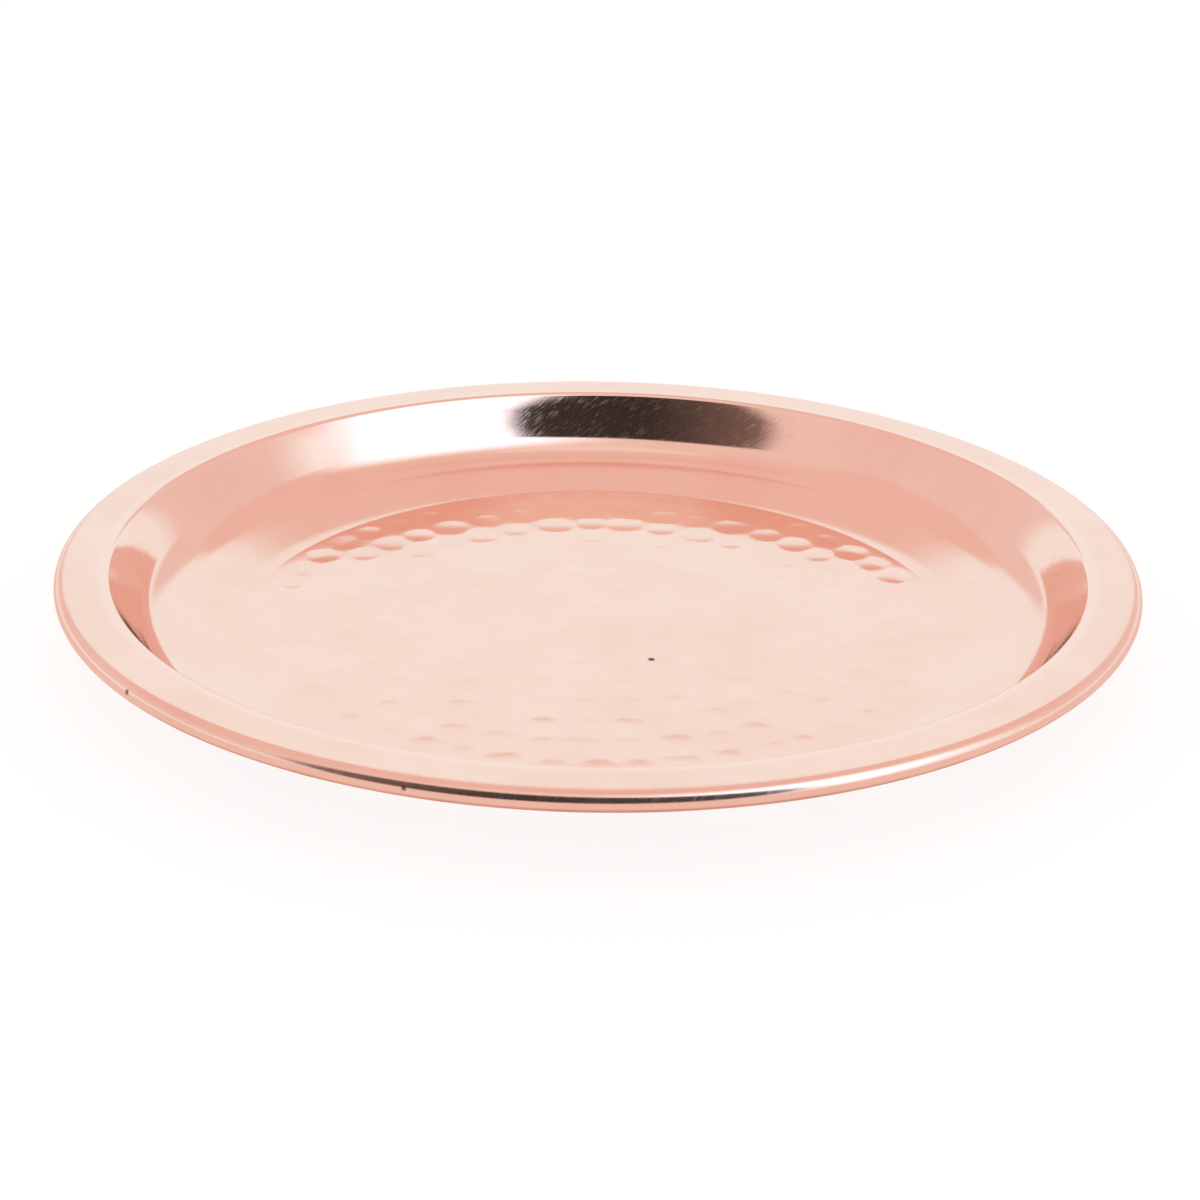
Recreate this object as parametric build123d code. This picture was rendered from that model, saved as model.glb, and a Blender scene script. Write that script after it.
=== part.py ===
from build123d import *
from math import acos, asin, cos, degrees, pi, radians, sin, sqrt, tan
import os

# A round serving tray in hammered copper: one pressed sheet whose edge is rolled over a hoop of wire.
# All sizes are in millimetres. The origin is on the resting plane, under the middle of the tray.

# Driving dimensions of the sheet
OUTER_DIAMETER = 300.0
OUTER_RADIUS = OUTER_DIAMETER / 2
SHEET = 1.0
RIM_TOP = 23.3

# Hammered floor. Inside its flat border it is crowned a little, so the tray stands on the border.
FLOOR_RADIUS = 102.0
BORDER_WIDTH = 8.0
CROWN_RADIUS = 4200.0
CROWN_EDGE = FLOOR_RADIUS - BORDER_WIDTH
CROWN_CENTRE = SHEET - sqrt(CROWN_RADIUS**2 - CROWN_EDGE**2)

# The plain ring round the floor, which rises gently to the wall
RING_SLOPE = 12.0

# Wall, with a hollow cove at its foot and a tight shoulder where it turns out into the rim
WALL_SLOPE = 58.5
COVE_RADIUS = 14.0
SHOULDER_RADIUS = 1.8
SHOULDER_CENTRE = 136.6

# Rolled edge and the wire that it is rolled over
BEAD_RADIUS = 2.7
CURL_ANGLE = 280.0
WIRE_CLEARANCE = 0.05
WIRE_BUTT_GAP = 1.0

# Hammer marks: shallow round dents in rings, each a little out of line, and none cutting into the next
MARK_PITCH = 11.3
MARK_RADIUS = 4.3
MARK_DEPTH = 0.11
MARK_WANDER = 0.6
OUTER_MARK_RING = FLOOR_RADIUS - 6.1


def polar(centre, radius, angle):
    """The point at this distance and angle in degrees from a centre, both in the section's plane."""
    return (centre[0] + radius * cos(radians(angle)), centre[1] + radius * sin(radians(angle)))


def cove_centre():
    """The cove touches the ring's line and the wall's line, so its centre follows from the two."""
    foot = polar(shoulder_centre, SHOULDER_RADIUS, WALL_SLOPE + 90)
    ring_rise = tan(radians(RING_SLOPE))
    wall_rise = tan(radians(WALL_SLOPE))
    corner_r = (foot[1] - SHEET + ring_rise * FLOOR_RADIUS - wall_rise * foot[0]) / (ring_rise - wall_rise)
    corner = (corner_r, SHEET + ring_rise * (corner_r - FLOOR_RADIUS))
    half_turn = (WALL_SLOPE - RING_SLOPE) / 2
    reach = COVE_RADIUS / cos(radians(half_turn))
    return polar(corner, reach, 90 + RING_SLOPE + half_turn)


bead_centre = (OUTER_RADIUS - BEAD_RADIUS, RIM_TOP - BEAD_RADIUS)
shoulder_centre = (SHOULDER_CENTRE, RIM_TOP - SHOULDER_RADIUS)
cove = cove_centre()


def skin(depth):
    """Corners and arcs of the surface that lies this far under the top face of the sheet."""
    cove_radius = COVE_RADIUS + depth
    shoulder_radius = SHOULDER_RADIUS - depth
    bead_radius = BEAD_RADIUS - depth
    crown_radius = CROWN_RADIUS - depth
    crown_turn = degrees(acos((SHEET - depth - CROWN_CENTRE) / crown_radius))
    middle = polar((0, CROWN_CENTRE), crown_radius, 90)
    border = polar((0, CROWN_CENTRE), crown_radius, 90 - crown_turn)
    crease = (FLOOR_RADIUS + depth * tan(radians(RING_SLOPE / 2)), SHEET - depth)
    ring_end = polar(cove, cove_radius, RING_SLOPE - 90)
    wall_foot = polar(cove, cove_radius, WALL_SLOPE - 90)
    wall_top = polar(shoulder_centre, shoulder_radius, WALL_SLOPE + 90)
    rim_start = polar(shoulder_centre, shoulder_radius, 90)
    rim_end = polar(bead_centre, bead_radius, 90)
    curl_end = polar(bead_centre, bead_radius, 90 - CURL_ANGLE)
    edges = [
        CenterArc((0, CROWN_CENTRE), crown_radius, 90 - crown_turn, crown_turn),
        Line(border, crease),
        Line(crease, ring_end),
        CenterArc(cove, cove_radius, RING_SLOPE - 90, WALL_SLOPE - RING_SLOPE),
        Line(wall_foot, wall_top),
        CenterArc(shoulder_centre, shoulder_radius, 90, WALL_SLOPE),
        Line(rim_start, rim_end),
        CenterArc(bead_centre, bead_radius, 90 - CURL_ANGLE, CURL_ANGLE),
    ]
    return edges, middle, curl_end


def mark_places():
    """Radius and bearing in degrees of each hammer mark, ring by ring from the outside in."""
    places = []
    ring = 0
    radius = OUTER_MARK_RING
    while radius > 0:
        count = max(3, int(2 * pi * radius / MARK_PITCH))
        for i in range(count):
            bearing = 360 * (i + 0.5 * (ring % 2)) / count
            drift = MARK_WANDER * sin(7.3 * i + 2.1 * ring)
            swing = degrees(MARK_WANDER * sin(4.7 * i + 1.3 * ring) / radius)
            places.append((radius + drift, bearing + swing))
        ring += 1
        radius -= MARK_PITCH
    return places


def floor_at(radius):
    """Height of the unhammered floor's top face and its fall in degrees, this far from the middle."""
    if radius > CROWN_EDGE:
        return SHEET, 0
    return CROWN_CENTRE + sqrt(CROWN_RADIUS**2 - radius**2), degrees(asin(radius / CROWN_RADIUS))


def tray_pan():
    """The pressed sheet: floor, ring, cove, wall, shoulder, flat rim and the edge rolled under."""
    top, top_middle, top_end = skin(0)
    under, under_middle, under_end = skin(SHEET)
    edges = top + under + [Line(top_middle, under_middle), Line(top_end, under_end)]
    section = Plane.XZ * make_face(edges)
    pan = revolve(section, Axis.Z, 360)
    ball_radius = (MARK_RADIUS**2 + MARK_DEPTH**2) / (2 * MARK_DEPTH)
    lens = Sphere(ball_radius) & Pos(0, 0, -ball_radius) * Cylinder(MARK_RADIUS * 1.3, 6 * MARK_DEPTH)
    lens = Pos(0, 0, ball_radius - MARK_DEPTH) * lens
    dents = []
    for radius, bearing in mark_places():
        height, fall = floor_at(radius)
        dents.append(Rot(0, 0, bearing) * Pos(radius, 0, height) * Rot(0, fall, 0) * lens)
    return pan - dents


def rim_wire():
    """The hoop inside the rolled edge, bent from straight wire, with its two ends almost meeting."""
    wire_radius = BEAD_RADIUS - SHEET - WIRE_CLEARANCE
    section = Plane.XZ * Pos(bead_centre[0], bead_centre[1]) * Circle(wire_radius)
    gap_angle = WIRE_BUTT_GAP / bead_centre[0] * 180 / pi
    return revolve(section, Axis.Z, 360 - gap_angle)


os.makedirs("parts", exist_ok=True)
nodes = {"tray_pan": tray_pan(), "rim_wire": rim_wire()}
for name, shape in nodes.items():
    export_step(shape, f"parts/{name}.step")
    print(name, "volume", round(shape.volume), "box", shape.bounding_box().size)
print("hammer marks", len(mark_places()), "crown", round(floor_at(0)[0] - SHEET, 2))
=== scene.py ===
from math import cos, floor, pi, radians, sin, sqrt, tan

import bpy
from mathutils import Euler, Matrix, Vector


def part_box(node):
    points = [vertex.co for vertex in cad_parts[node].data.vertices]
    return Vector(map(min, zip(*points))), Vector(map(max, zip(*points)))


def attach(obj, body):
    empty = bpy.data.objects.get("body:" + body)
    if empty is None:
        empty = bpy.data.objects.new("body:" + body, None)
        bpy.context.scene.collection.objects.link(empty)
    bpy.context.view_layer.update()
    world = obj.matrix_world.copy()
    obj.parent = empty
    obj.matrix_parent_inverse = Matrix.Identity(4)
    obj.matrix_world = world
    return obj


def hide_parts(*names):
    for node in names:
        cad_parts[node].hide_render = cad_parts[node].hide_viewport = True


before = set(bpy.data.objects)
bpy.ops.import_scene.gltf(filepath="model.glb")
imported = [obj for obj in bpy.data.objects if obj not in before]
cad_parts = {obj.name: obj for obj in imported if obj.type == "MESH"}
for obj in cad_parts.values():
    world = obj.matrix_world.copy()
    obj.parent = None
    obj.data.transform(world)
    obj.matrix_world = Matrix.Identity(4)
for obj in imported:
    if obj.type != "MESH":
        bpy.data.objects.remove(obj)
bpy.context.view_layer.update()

# ---------------------------------------------------------------------------------------------
# Sizes in metres. The outline comes from the frame; the rest are the sheet's own dimensions.
# ---------------------------------------------------------------------------------------------
MM = 0.001
pan_low, pan_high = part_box("tray_pan")
OUTER_RADIUS = (pan_high[0] - pan_low[0]) / 2
RIM_TOP = pan_high[2]
BASE = pan_low[2]

SHEET = 1.0 * MM
FLOOR_RADIUS = 102.0 * MM
BORDER_WIDTH = 8.0 * MM
CROWN_RADIUS = 4200.0 * MM
RING_SLOPE = 12.0
WALL_SLOPE = 58.5
COVE_RADIUS = 14.0 * MM
SHOULDER_RADIUS = 1.8 * MM
SHOULDER_CENTRE = 136.6 * MM
BEAD_RADIUS = 2.7 * MM
CURL_ANGLE = 280.0

# Hammer marks on the floor
MARK_PITCH = 11.3 * MM
MARK_RADIUS = 5.7 * MM
MARK_DEPTH = 0.145 * MM
MARK_WANDER = 0.9 * MM
OUTER_MARK_RING = FLOOR_RADIUS - 8.2 * MM

# How finely the sheet is divided: round the tray, and along each arc and straight of its section
SEGMENTS = 544
COVE_STEPS = 14
SHOULDER_STEPS = 8
BEAD_STEPS = 22
INNER_BEAD_STEPS = 12
RING_STEPS = 4
WALL_STEPS = 3
RIM_STEPS = 4
DISC_HALVINGS = 5


def polar(centre, radius, angle):
    """The point at this distance and angle in degrees from a centre, both in the section's plane."""
    return (centre[0] + radius * cos(radians(angle)), centre[1] + radius * sin(radians(angle)))


CROWN_EDGE = FLOOR_RADIUS - BORDER_WIDTH
CROWN_CENTRE = BASE + SHEET - sqrt(CROWN_RADIUS**2 - CROWN_EDGE**2)
bead_centre = (OUTER_RADIUS - BEAD_RADIUS, RIM_TOP - BEAD_RADIUS)
shoulder_centre = (SHOULDER_CENTRE, RIM_TOP - SHOULDER_RADIUS)


def cove_centre():
    """The cove touches the ring's line and the wall's line, so its centre follows from the two."""
    foot = polar(shoulder_centre, SHOULDER_RADIUS, WALL_SLOPE + 90)
    ring_rise = tan(radians(RING_SLOPE))
    wall_rise = tan(radians(WALL_SLOPE))
    floor_top = BASE + SHEET
    gap = foot[1] - floor_top + ring_rise * FLOOR_RADIUS - wall_rise * foot[0]
    corner_r = gap / (ring_rise - wall_rise)
    corner = (corner_r, floor_top + ring_rise * (corner_r - FLOOR_RADIUS))
    half_turn = (WALL_SLOPE - RING_SLOPE) / 2
    return polar(corner, COVE_RADIUS / cos(radians(half_turn)), 90 + RING_SLOPE + half_turn)


cove = cove_centre()


def arc(centre, radius, start, turn, steps):
    """Points along an arc, both ends included."""
    return [polar(centre, radius, start + turn * i / steps) for i in range(steps + 1)]


def straight(start, end, steps):
    """Points along a straight stretch, without its two ends."""
    return [
        (start[0] + (end[0] - start[0]) * i / steps, start[1] + (end[1] - start[1]) * i / steps)
        for i in range(1, steps)
    ]


def skin(depth):
    """Outline from the floor's edge to the end of the curl, this far under the sheet's top face."""
    bead_steps = BEAD_STEPS if depth == 0 else INNER_BEAD_STEPS
    crease = (FLOOR_RADIUS + depth * tan(radians(RING_SLOPE / 2)), BASE + SHEET - depth)
    cove_arc = arc(cove, COVE_RADIUS + depth, RING_SLOPE - 90, WALL_SLOPE - RING_SLOPE, COVE_STEPS)
    shoulder = arc(shoulder_centre, SHOULDER_RADIUS - depth, WALL_SLOPE + 90, -WALL_SLOPE, SHOULDER_STEPS)
    bead = arc(bead_centre, BEAD_RADIUS - depth, 90, -CURL_ANGLE, bead_steps)
    ring = straight(crease, cove_arc[0], RING_STEPS)
    wall = straight(cove_arc[-1], shoulder[0], WALL_STEPS)
    rim = straight(shoulder[-1], bead[0], RIM_STEPS)
    return [crease] + ring + cove_arc + wall + shoulder + rim + bead


def mark_places():
    """Hammer marks ring by ring from the outside in: x, y, radius and depth of each."""
    places = []
    ring = 0
    radius = OUTER_MARK_RING
    while radius > 0:
        count = max(3, int(2 * pi * radius / MARK_PITCH))
        for i in range(count):
            turn = 2 * pi * (i + 0.5 * (ring % 2)) / count
            drift = MARK_WANDER * sin(7.3 * i + 2.1 * ring)
            swing = MARK_WANDER * sin(4.7 * i + 1.3 * ring) / radius
            reach = MARK_RADIUS * (1 + 0.09 * sin(3.1 * i + 5.7 * ring))
            depth = MARK_DEPTH * (1 + 0.25 * sin(9.2 * i + 0.7 * ring))
            x = (radius + drift) * cos(turn + swing)
            y = (radius + drift) * sin(turn + swing)
            places.append((x, y, reach, depth))
        ring += 1
        radius -= MARK_PITCH
    return places


def mark_grid(places):
    """The marks sorted into square cells, so a point only looks at those near it."""
    cells = {}
    for mark in places:
        key = (floor(mark[0] / MARK_PITCH), floor(mark[1] / MARK_PITCH))
        cells.setdefault(key, []).append(mark)
    return cells


marks = mark_grid(mark_places())


def crowned(x, y, depth=0.0):
    """Height of the floor without its dents, this far under the sheet's top face."""
    spread = x * x + y * y
    if spread > CROWN_EDGE**2:
        return BASE + SHEET - depth
    return CROWN_CENTRE + sqrt((CROWN_RADIUS - depth) ** 2 - spread)


def hammered(x, y):
    """Height of the hammered floor at a point: the lowest of the dents that reach it."""
    cell_x, cell_y = floor(x / MARK_PITCH), floor(y / MARK_PITCH)
    height = 0.0
    for i in (-1, 0, 1):
        for j in (-1, 0, 1):
            for mark_x, mark_y, reach, depth in marks.get((cell_x + i, cell_y + j), ()):
                share = ((x - mark_x) ** 2 + (y - mark_y) ** 2) / reach**2
                if share < 1:
                    height = min(height, depth * (share - 1))
    return crowned(x, y) + height


def underside(x, y):
    """Height of the floor's underside at a point; it has no dents."""
    return crowned(x, y, SHEET)


def ring_of(radius, height, count):
    """One ring of points; height is a number, or a function of x and y."""
    points = []
    for i in range(count):
        x = radius * cos(2 * pi * i / count)
        y = radius * sin(2 * pi * i / count)
        points.append((x, y, height(x, y) if callable(height) else height))
    return points


def stitch(faces, outer, outer_count, inner, inner_count):
    """Faces between two rings, where the outer one has as many points as the inner one, or twice as many."""
    for i in range(inner_count):
        a, b = inner + i, inner + (i + 1) % inner_count
        if outer_count == inner_count:
            faces.append((a, outer + i, outer + (i + 1) % outer_count, b))
            continue
        c, d, e = (outer + (2 * i + k) % outer_count for k in range(3))
        faces.append((a, c, d))
        faces.append((a, d, b))
        faces.append((d, e, b))


def disc_counts(radii):
    """How many points each ring of a disc has: halved each time the ring is half the size."""
    counts = []
    for radius in radii:
        halvings = 0
        while halvings < DISC_HALVINGS and radius < FLOOR_RADIUS / 2 ** (halvings + 1):
            halvings += 1
        counts.append(SEGMENTS // 2**halvings)
    return counts


def make_pan():
    """The whole sheet as one closed mesh: hammered floor, outside, curl, inside of the curl, underside."""
    points, faces = [], []
    top, under = skin(0), skin(SHEET)
    loop = top + under[::-1]
    starts = []
    for radius, height in loop:
        starts.append(len(points))
        points.extend(ring_of(radius, height, SEGMENTS))
    for here, there in zip(starts, starts[1:]):
        stitch(faces, there, SEGMENTS, here, SEGMENTS)

    def disc(radii, height, edge, upward):
        """Fills in the ring of points that starts at edge, by smaller and smaller rings."""
        outer, outer_count = edge, SEGMENTS
        made = []
        for radius, count in zip(radii, disc_counts(radii)):
            inner = len(points)
            points.extend(ring_of(radius, height, count))
            stitch(made, outer, outer_count, inner, count)
            outer, outer_count = inner, count
        middle = len(points)
        points.append((0, 0, height(0, 0) if callable(height) else height))
        made.extend((middle, outer + i, outer + (i + 1) % outer_count) for i in range(outer_count))
        faces.extend(made if upward else [face[::-1] for face in made])

    fine = [FLOOR_RADIUS - i * MM for i in range(1, int(FLOOR_RADIUS / MM))]
    disc(fine, hammered, starts[0], True)
    coarse = [CROWN_EDGE * share for share in (1.0, 0.8, 0.6, 0.45, 0.3, 0.2, 0.1, 0.05)]
    disc(coarse, underside, starts[-1], False)
    mesh = bpy.data.meshes.new("copper_tray")
    mesh.from_pydata(points, [], faces)
    mesh.validate()
    mesh.shade_smooth()
    tray = bpy.data.objects.new("copper_tray", mesh)
    bpy.context.scene.collection.objects.link(tray)
    return tray


# ---------------------------------------------------------------------------------------------
# Shader nodes
# ---------------------------------------------------------------------------------------------
class Graph:
    """Short ways to add and join the nodes of one node tree."""

    def __init__(self, tree):
        self.nodes, self.links = tree.nodes, tree.links

    def give(self, socket, value):
        """Links a socket to another, or sets its value."""
        if isinstance(value, bpy.types.NodeSocket):
            self.links.new(value, socket)
        elif value is not None:
            socket.default_value = value

    def math(self, operation, *values):
        node = self.nodes.new("ShaderNodeMath")
        node.operation = operation
        for socket, value in zip(node.inputs, values):
            self.give(socket, value)
        return node.outputs[0]

    def join(self, x, y, z):
        node = self.nodes.new("ShaderNodeCombineXYZ")
        for socket, value in zip(node.inputs, (x, y, z)):
            self.give(socket, value)
        return node.outputs[0]

    def split(self, vector):
        node = self.nodes.new("ShaderNodeSeparateXYZ")
        self.give(node.inputs[0], vector)
        return node.outputs

    def noise(self, where, scale, detail=2.0, roughness=0.5):
        node = self.nodes.new("ShaderNodeTexNoise")
        self.give(node.inputs["Vector"], where)
        node.inputs["Scale"].default_value = scale
        node.inputs["Detail"].default_value = detail
        node.inputs["Roughness"].default_value = roughness
        return node.outputs[0]

    def step(self, value, low, high, start=0.0, end=1.0):
        """A smooth change from start at low to end at high; low may be the larger."""
        node = self.nodes.new("ShaderNodeMapRange")
        node.interpolation_type = "SMOOTHSTEP"
        self.give(node.inputs["Value"], value)
        for name, number in (("From Min", low), ("From Max", high), ("To Min", start), ("To Max", end)):
            node.inputs[name].default_value = number
        return node.outputs[0]

    def mix(self, share, first, second):
        node = self.nodes.new("ShaderNodeMix")
        node.data_type = "RGBA"
        node.clamp_factor = True
        self.give(node.inputs["Factor"], share)
        for name, value in (("A", first), ("B", second)):
            self.give(node.inputs[name], (*value, 1) if isinstance(value, tuple) else value)
        return node.outputs["Result"]

    def most(self, *values):
        """The largest of the values."""
        largest = values[0]
        for value in values[1:]:
            largest = self.math("MAXIMUM", largest, value)
        return largest

    def total(self, start, *parts):
        """A start value plus each mask times its share."""
        result = start
        for mask, share in parts:
            result = self.math("MULTIPLY_ADD", mask, share, result)
        return result

    def beyond(self, x, y):
        """Distance of a point from the tray's axis."""
        return self.math("SQRT", self.math("ADD", self.math("MULTIPLY", x, x), self.math("MULTIPLY", y, y)))

    def bump(self, height, strength, distance):
        """The surface's normal, tilted as the height rises and falls."""
        node = self.nodes.new("ShaderNodeBump")
        node.inputs["Strength"].default_value = strength
        node.inputs["Distance"].default_value = distance
        self.give(node.inputs["Height"], height)
        return node.outputs[0]

    def spot(self, where, place, reach):
        """1 at a place, falling to 0 this far from it."""
        node = self.nodes.new("ShaderNodeVectorMath")
        node.operation = "DISTANCE"
        self.give(node.inputs[0], where)
        node.inputs[1].default_value = place
        return self.step(node.outputs["Value"], reach, reach * 0.4)


# ---------------------------------------------------------------------------------------------
# Materials
# ---------------------------------------------------------------------------------------------
def node_material(name):
    """A new material, with its graph and its shader."""
    mat = bpy.data.materials.new(name)
    mat.use_nodes = True
    g = Graph(mat.node_tree)
    return mat, g, g.nodes["Principled BSDF"]


# Copper: clean, redder in patches, rubbed bright, in the pits, in the blemishes, and the two dull tones
COPPER = (0.955, 0.72, 0.625)
COPPER_RED = (0.935, 0.68, 0.585)
COPPER_RUBBED = (0.97, 0.77, 0.68)
COPPER_DARK = (0.30, 0.17, 0.12)
COPPER_BLACK = (0.08, 0.05, 0.04)
COPPER_DULL = (0.74, 0.42, 0.31)
COPPER_BROWN = (0.55, 0.29, 0.21)

# Noise scales, in cells to the metre: brushed lines, grain of the metal, patches, stains and pits
BRUSH = 1100.0
BRUSH_ON_FLOOR = BRUSH / 14
BRUSH_ON_WALL = BRUSH / 9
BRUSH_CLIMB = 1.6
GRAIN = 1900.0
PATCH = 34.0
STAIN = 11.0
PIT = 60.0

# Roughness of the metal, and what each kind of wear adds where it is full
ROUGH = 0.06
ROUGH_OFF_FLOOR = -0.015
ROUGH_SCRATCH = 0.09
ROUGH_SCRATCH_ON_WALL = 0.035
ROUGH_GRAIN = 0.03
ROUGH_STAIN = 0.03
ROUGH_RUBBED = -0.03
ROUGH_BENEATH = 0.2
ROUGH_PIT = 0.4
ROUGH_EDGE = 0.12

# Blemishes: a dark speck on the floor, and two nicks on the rolled edge, each a bearing and a rise
SPECK = (14.8 * MM, -29.8 * MM, BASE + SHEET + 0.9 * MM)
SPECK_REACH = 1.3 * MM
NICKS = ((-140, 20, 1.0 * MM), (-106.8, 10, 0.9 * MM))


# Wire: noise scales across it, along it and over its mottling, and its two greys
DRAWN_LINES = 9000.0
DRAWN_LENGTH = 12.0
MOTTLE = 260.0
ZINC_LIGHT = (0.60, 0.60, 0.59)
ZINC_DARK = (0.45, 0.45, 0.45)


def on_bead(bearing, rise):
    """A place on the outside of the rolled edge: its bearing, and how far up its round it is, in degrees."""
    reach, height = polar(bead_centre, BEAD_RADIUS, rise)
    return (*polar((0, 0), reach, bearing), height)


def copper_material():
    """Bright rose copper: brushed, scratched, pitted and stained, and dull underneath."""
    mat, g, shader = node_material("rose_copper")
    coords = g.nodes.new("ShaderNodeTexCoord")
    where = coords.outputs["Object"]
    x, y, z = g.split(where)
    facing = g.split(coords.outputs["Normal"])[2]
    radius = g.beyond(x, y)
    around = g.math("MULTIPLY", g.math("ARCTAN2", y, x), OUTER_RADIUS)

    # Where the sheet is: on the hammered floor, on that or the flat rim, or anywhere else
    on_floor = g.step(radius, FLOOR_RADIUS + 4 * MM, FLOOR_RADIUS)
    off_floor = g.math("SUBTRACT", 1.0, on_floor)
    on_flat = g.most(on_floor, g.step(radius, SHOULDER_CENTRE - 1 * MM, SHOULDER_CENTRE))
    off_flat = g.math("SUBTRACT", 1.0, on_flat)

    # Brushed lines: straight and slanting on the floor and the rim, and climbing the wall at a slant
    straight_lines = g.join(g.math("MULTIPLY", g.math("SUBTRACT", x, y), BRUSH),
                            g.math("MULTIPLY", g.math("ADD", x, y), BRUSH_ON_FLOOR), 0.0)
    climb = g.math("MULTIPLY", z, BRUSH_CLIMB)
    climbing_lines = g.join(g.math("MULTIPLY", g.math("ADD", around, climb), BRUSH),
                            g.math("MULTIPLY", g.math("SUBTRACT", climb, around), BRUSH_ON_WALL), 0.0)
    lines = g.math("ADD", g.math("MULTIPLY", g.noise(straight_lines, 1.0, 3.0, 0.6), on_flat),
                   g.math("MULTIPLY", g.noise(climbing_lines, 1.0, 3.0, 0.6), off_flat))
    scratches = g.step(lines, 0.47, 0.72)
    grain = g.noise(where, GRAIN, 2.0, 0.7)
    patches = g.noise(where, PATCH, 4.0, 0.6)
    stains = g.step(g.noise(where, STAIN, 3.0, 0.55), 0.48, 0.72)

    # Small dark pits here and there on the floor and the rim, and the few larger blemishes
    cells = g.nodes.new("ShaderNodeTexVoronoi")
    g.give(cells.inputs["Vector"], where)
    cells.inputs["Scale"].default_value = PIT
    chosen = g.math("MULTIPLY", g.math("GREATER_THAN", g.split(cells.outputs["Color"])[0], 0.72), on_flat)
    pits = g.math("MULTIPLY", g.step(cells.outputs["Distance"], 0.016, 0.006), chosen)
    nicks = g.most(*(g.spot(where, on_bead(bearing, rise), reach) for bearing, rise, reach in NICKS))
    blemishes = g.most(g.math("MULTIPLY", nicks, 0.8), g.spot(where, SPECK, SPECK_REACH))

    # Rubbed bright where hands and cloths reach it, and dull underneath
    bend = g.math("ABSOLUTE", g.math("SUBTRACT", radius, SHOULDER_CENTRE))
    rubbed = g.math("MULTIPLY", g.step(bend, 2.6 * MM, 0.6 * MM), g.step(facing, 0.2, 0.6))
    beneath = g.step(facing, -0.25, -0.6)
    edge = g.step(radius, OUTER_RADIUS - BEAD_RADIUS, OUTER_RADIUS - 0.3 * BEAD_RADIUS)

    dull = g.mix(g.step(patches, 0.3, 0.7), COPPER_DULL, COPPER_BROWN)
    tone = g.mix(g.step(patches, 0.35, 0.68), COPPER, COPPER_RED)
    tone = g.mix(g.math("MULTIPLY", rubbed, 0.6), tone, COPPER_RUBBED)
    tone = g.mix(g.math("MULTIPLY", beneath, 0.85), tone, dull)
    tone = g.mix(g.math("MULTIPLY", pits, 0.85), tone, COPPER_DARK)
    tone = g.mix(blemishes, tone, COPPER_BLACK)
    g.give(shader.inputs["Base Color"], tone)

    scratched = g.total(ROUGH_SCRATCH, (off_flat, ROUGH_SCRATCH_ON_WALL))
    rough = g.total(ROUGH, (off_floor, ROUGH_OFF_FLOOR), (scratches, scratched), (grain, ROUGH_GRAIN),
                    (stains, ROUGH_STAIN), (rubbed, ROUGH_RUBBED), (beneath, ROUGH_BENEATH),
                    (pits, ROUGH_PIT), (edge, ROUGH_EDGE))
    g.give(shader.inputs["Roughness"], rough)

    relief = g.math("MULTIPLY", g.total(lines, (grain, 0.4)), g.total(0.3, (off_floor, -0.15)))
    relief = g.total(relief, (pits, -0.8))
    g.give(shader.inputs["Normal"], g.bump(relief, 1.0, 0.035 * MM))
    shader.inputs["Metallic"].default_value = 1.0
    return mat


def wire_material():
    """Galvanised wire: grey, a little mottled, with fine lines along it from drawing."""
    mat, g, shader = node_material("galvanised_wire")
    where = g.nodes.new("ShaderNodeTexCoord").outputs["Object"]
    x, y, z = g.split(where)
    across = g.math("MULTIPLY", g.beyond(x, y), DRAWN_LINES)
    up = g.math("MULTIPLY", z, DRAWN_LINES)
    along = g.math("MULTIPLY", g.math("ARCTAN2", y, x), DRAWN_LENGTH)
    drawn = g.noise(g.join(across, up, along), 1.0, 3.0)
    mottle = g.noise(where, MOTTLE, 3.0, 0.6)
    g.give(shader.inputs["Base Color"], g.mix(g.step(mottle, 0.3, 0.7), ZINC_LIGHT, ZINC_DARK))
    g.give(shader.inputs["Roughness"], g.step(drawn, 0.3, 0.7, 0.28, 0.45))
    g.give(shader.inputs["Normal"], g.bump(drawn, 0.4, 0.02 * MM))
    shader.inputs["Metallic"].default_value = 1.0
    return mat


def floor_material():
    """Plain white studio floor, which glows so that it stays white to its far edge."""
    mat, g, shader = node_material("studio_floor")
    shader.inputs["Base Color"].default_value = (0.2, 0.2, 0.2, 1)
    shader.inputs["Roughness"].default_value = 0.9
    shader.inputs["Specular IOR Level"].default_value = 0.0
    shader.inputs["Emission Color"].default_value = (1, 1, 1, 1)
    shader.inputs["Emission Strength"].default_value = 0.87
    return mat


tray = make_pan()
tray.data.materials.append(copper_material())
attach(tray, "root")
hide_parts("tray_pan")
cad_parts["rim_wire"].material_slots[0].material = wire_material()

# ---------------------------------------------------------------------------------------------
# Studio
# ---------------------------------------------------------------------------------------------
FLOOR_REACH = 8.0
FLOOR_DROP = 0.2 * MM
WARM_FLOOR_DROP = 0.5 * MM
WARM_FLOOR = (0.90, 0.66, 0.60)


def floor_disc(name, drop, material):
    """A large round floor, this far under the tray."""
    bpy.ops.mesh.primitive_circle_add(
        vertices=96, radius=FLOOR_REACH, fill_type="NGON", location=(0, 0, BASE - drop))
    disc = bpy.context.object
    disc.name = name
    disc.data.materials.append(material)
    return disc


studio_floor = floor_disc("studio_floor", FLOOR_DROP, floor_material())

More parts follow.
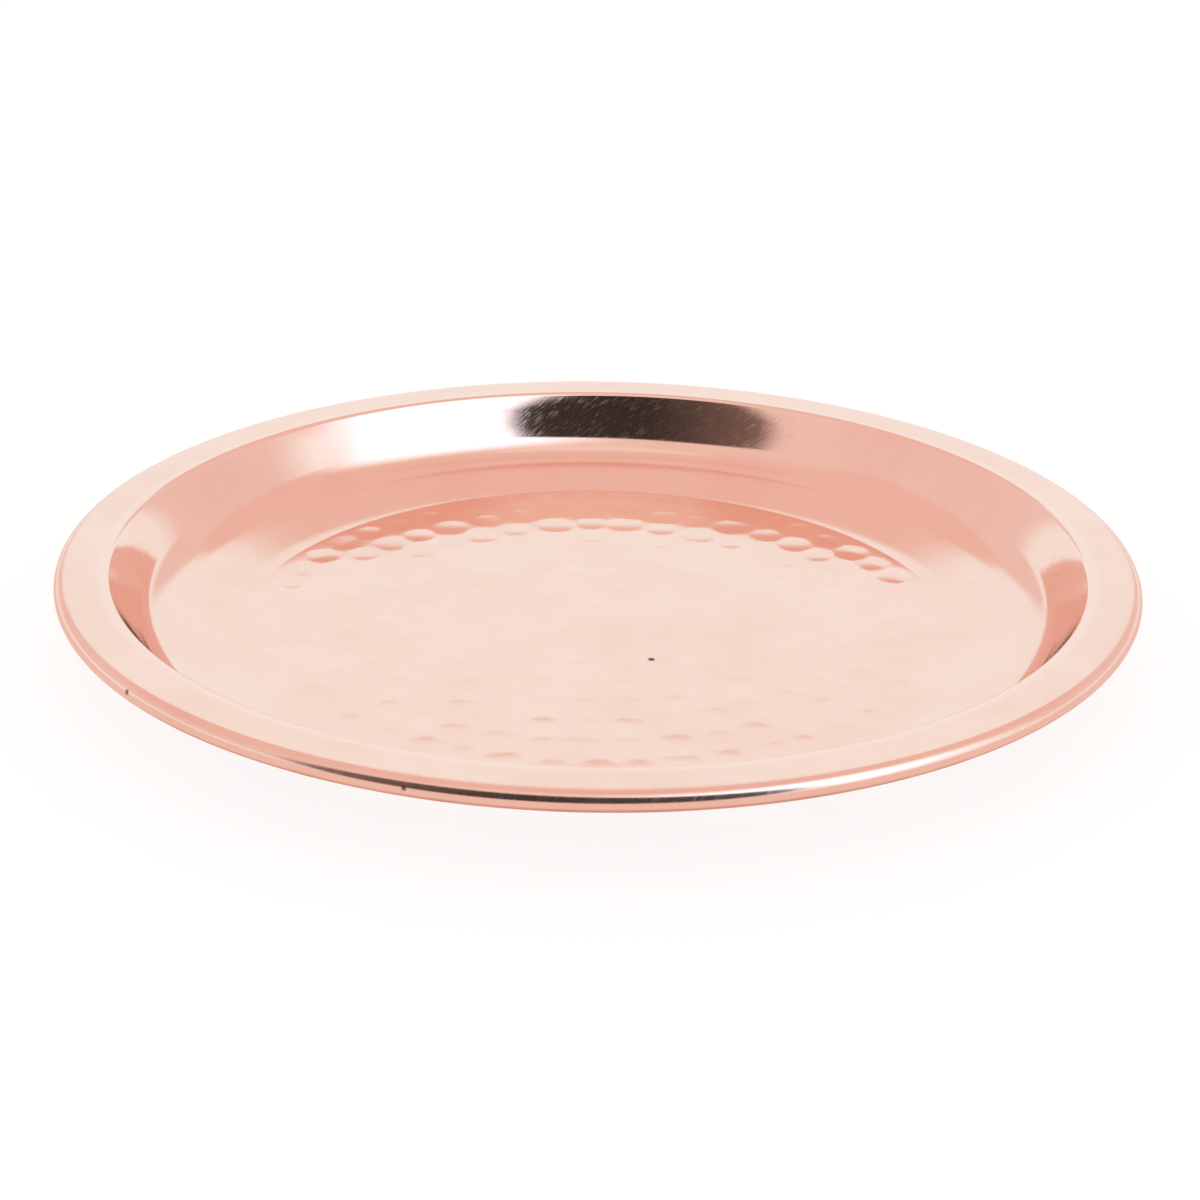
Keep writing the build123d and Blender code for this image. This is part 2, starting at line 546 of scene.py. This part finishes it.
# Light: a white room, a dimmer warm ceiling, and warm walls on the left and the right. The ceiling is
# a little lighter on the camera's side, lightest overhead there, and darker high up at the back. Edges
# are in degrees: heights above the horizon, and for a wall where it fades in and where it fades out,
# round from the camera's side.
WHITE = (0.97, 0.985, 0.975)
CEILING = (0.885, 0.61, 0.545)
CEILING_HIGH = (0.90, 0.69, 0.64)
CEILING_TOP = (0.935, 0.79, 0.735)
CEILING_BACK = (0.86, 0.565, 0.50)
CEILING_EDGE = 33.0
CEILING_SOFT = 2.0
WALL_EDGE = (8, 13)
CEILING_TOP_EDGE = (72, 79)
CEILING_BACK_EDGE = (60, 70)
SIDE_WALL = (0.89, 0.675, 0.64)
LEFT_WALL = ((-166, -156), (-64, -52))
RIGHT_WALL = ((84, 100), (156, 166))


def rising(g, z, low, high):
    """0 under one height and 1 over the other, both in degrees above the horizon."""
    return g.step(z, sin(radians(low)), sin(radians(high)))


def make_world():
    """The room by direction: how far round from the camera's side, and how high."""
    world = bpy.data.worlds.new("studio")
    world.use_nodes = True
    g = Graph(world.node_tree)
    x, y, z = g.split(g.nodes.new("ShaderNodeTexCoord").outputs["Generated"])
    sideways = g.math("ARCTAN2", x, g.math("MULTIPLY", y, -1.0))
    walls = []
    for (start, full), (fading, end) in (LEFT_WALL, RIGHT_WALL):
        walls.append(g.math("MULTIPLY", g.step(sideways, radians(start), radians(full)),
                            g.step(sideways, radians(end), radians(fading))))
    wall = g.math("MULTIPLY", g.most(*walls), rising(g, z, *WALL_EDGE))
    ceiling = rising(g, z, CEILING_EDGE - CEILING_SOFT, CEILING_EDGE + CEILING_SOFT)
    overhead = g.math("MULTIPLY", rising(g, z, *CEILING_TOP_EDGE), g.step(y, 0.05, -0.1))
    behind = g.math("MULTIPLY", rising(g, z, *CEILING_BACK_EDGE), g.step(y, 0.15, 0.3))
    above = g.mix(g.step(y, 0.1, -0.35), CEILING, CEILING_HIGH)
    above = g.mix(overhead, above, CEILING_TOP)
    above = g.mix(behind, above, CEILING_BACK)
    g.give(g.nodes["Background"].inputs["Color"], g.mix(ceiling, g.mix(wall, WHITE, SIDE_WALL), above))
    bpy.context.scene.world = world


make_world()


def light_material(name):
    """A new material for a light, still empty, with its graph."""
    mat, g, shader = node_material(name)
    g.nodes.remove(shader)
    return mat, g


def shade(g, color, mask):
    """Glows with a colour where the mask is 1, and is clear where it is 0."""
    glow = g.nodes.new("ShaderNodeEmission")
    g.give(glow.inputs["Color"], (*color, 1) if isinstance(color, tuple) else color)
    clear = g.nodes.new("ShaderNodeBsdfTransparent")
    mix = g.nodes.new("ShaderNodeMixShader")
    g.give(mix.inputs[0], mask)
    g.give(mix.inputs[1], clear.outputs[0])
    g.give(mix.inputs[2], glow.outputs[0])
    g.give(g.nodes["Material Output"].inputs["Surface"], mix.outputs[0])


def glow_material(name, near_side, far_side, turn, soft, roundness):
    """Light of a card: its colour runs from one side to the other by turn, and its rounded edge is soft."""
    mat, g = light_material(name)
    across, up, _ = g.split(g.nodes.new("ShaderNodeUVMap").outputs[0])
    off = [g.math("ABSOLUTE", g.math("MULTIPLY_ADD", way, 2.0, -1.0)) for way in (across, up)]
    reach = g.math("ADD", *(g.math("POWER", way, roundness) for way in off))
    mask = g.step(g.math("POWER", reach, 1 / roundness), 1.0, 1.0 - soft)
    shade(g, g.mix(g.step(across, 0.0, turn), near_side, far_side), mask)
    return mat


def lamp_material(name, level, full):
    """Light of a lamp: full out to this share of its reach, and fading from there."""
    mat, g = light_material(name)
    out, _, _ = g.split(g.nodes.new("ShaderNodeUVMap").outputs[0])
    shade(g, level, g.step(out, 1.0, full))
    return mat


def warm_floor_material():
    """Even warm light all over."""
    mat, g = light_material("warm_floor")
    shade(g, WARM_FLOOR, 1.0)
    return mat


def only_reflected(piece):
    """A studio light that shows in reflections and nowhere else."""
    piece.visible_camera = False
    piece.visible_diffuse = False
    piece.visible_shadow = False
    piece.visible_transmission = False


def patch(name, points, faces, places, material):
    """A studio light from its points, its faces, and each point's place on it, which its material reads."""
    mesh = bpy.data.meshes.new(name)
    mesh.from_pydata(points, [], faces)
    layer = mesh.uv_layers.new(name="place")
    for loop in mesh.loops:
        layer.data[loop.index].uv = places[loop.vertex_index]
    mesh.materials.append(material)
    piece = bpy.data.objects.new(name, mesh)
    bpy.context.scene.collection.objects.link(piece)
    only_reflected(piece)


def card(name, sideways, low, high, distance, near_side, far_side, turn, soft, roundness):
    """A card on a sphere round the tray.

    sideways is its range in degrees from the camera's side, and low and high are its lower and upper
    edges in degrees above the horizon, each at the near and the far end of that range.
    """
    columns, rows = 32, 16
    points, faces, places = [], [], []
    for j in range(rows + 1):
        for i in range(columns + 1):
            u, v = i / columns, j / rows
            a = radians(sideways[0] + (sideways[1] - sideways[0]) * u)
            bottom = low[0] + (low[1] - low[0]) * u
            top = high[0] + (high[1] - high[0]) * u
            e = radians(bottom + (top - bottom) * v)
            reach = distance * cos(e)
            points.append((reach * sin(a), -reach * cos(a), distance * sin(e) + RIM_TOP))
            places.append((u, v))
    for j in range(rows):
        for i in range(columns):
            k = j * (columns + 1) + i
            faces.append((k, k + 1, k + columns + 2, k + columns + 1))
    patch(name, points, faces, places, glow_material(name, near_side, far_side, turn, soft, roundness))


def lamp(name, sideways, upward, spread, distance, level, core):
    """A round soft light: full within core of its spread, in degrees, and fading from there to its edge."""
    rings, count = 16, 48
    a, e = radians(sideways), radians(upward)
    ahead = Vector((sin(a) * cos(e), -cos(a) * cos(e), sin(e)))
    side = ahead.cross(Vector((0, 0, 1))).normalized()
    rise = side.cross(ahead)
    points, faces, places = [], [], []
    for j in range(rings + 1):
        for i in range(count):
            off, turn = radians(spread) * j / rings, 2 * pi * i / count
            way = ahead * cos(off) + (side * cos(turn) + rise * sin(turn)) * sin(off)
            points.append(way * distance + Vector((0, 0, RIM_TOP)))
            places.append((j / rings, 0.5))
    for j in range(rings):
        for i in range(count):
            k, n = j * count, (i + 1) % count
            faces.append((k + i, k + n, k + count + n, k + count + i))
    patch(name, points, faces, places, lamp_material(name, level, core / spread))


card("dark_card", sideways=(-62, 41.5), low=(-8, -8), high=(57.5, 56), distance=1.5,
     near_side=(0.21, 0.14, 0.12), far_side=(0.036, 0.030, 0.027), turn=0.5, soft=0.12, roundness=2.6)
lamp("bright_lamp", sideways=46, upward=39, spread=42, distance=2.0, level=(1.5, 1.65, 1.9), core=14)

# The floor is white to the camera, but the tray's edge reflects a warmer, dimmer one
studio_floor.visible_glossy = False
only_reflected(floor_disc("warm_floor", WARM_FLOOR_DROP, warm_floor_material()))

# ---------------------------------------------------------------------------------------------
# Camera
# ---------------------------------------------------------------------------------------------
CAMERA_DISTANCE = 4.5 * OUTER_RADIUS
CAMERA_ELEVATION = 22.14
CAMERA_ROLL = 0.859
LENS = 71.96
SENSOR_WIDTH = 36
AIM_SHIFT = (0.00055, -0.0049, -0.0120)


def make_camera():
    """The camera in front of the tray, a little above it, aimed just under the rim's middle."""
    data = bpy.data.cameras.new("camera")
    data.lens = LENS
    data.sensor_width = SENSOR_WIDTH
    camera = bpy.data.objects.new("camera", data)
    bpy.context.scene.collection.objects.link(camera)
    centre = Vector((0, 0, bead_centre[1]))
    e = radians(CAMERA_ELEVATION)
    camera.location = centre + CAMERA_DISTANCE * Vector((0, -cos(e), sin(e)))
    aim = centre + Vector(AIM_SHIFT)
    camera.rotation_mode = "QUATERNION"
    look = (aim - camera.location).to_track_quat("-Z", "Y")
    roll = Euler((0, 0, radians(CAMERA_ROLL))).to_quaternion()
    camera.rotation_quaternion = look @ roll
    data.clip_start = 0.01
    data.clip_end = 100
    bpy.context.scene.camera = camera


make_camera()
bpy.context.scene.view_settings.view_transform = "Standard"
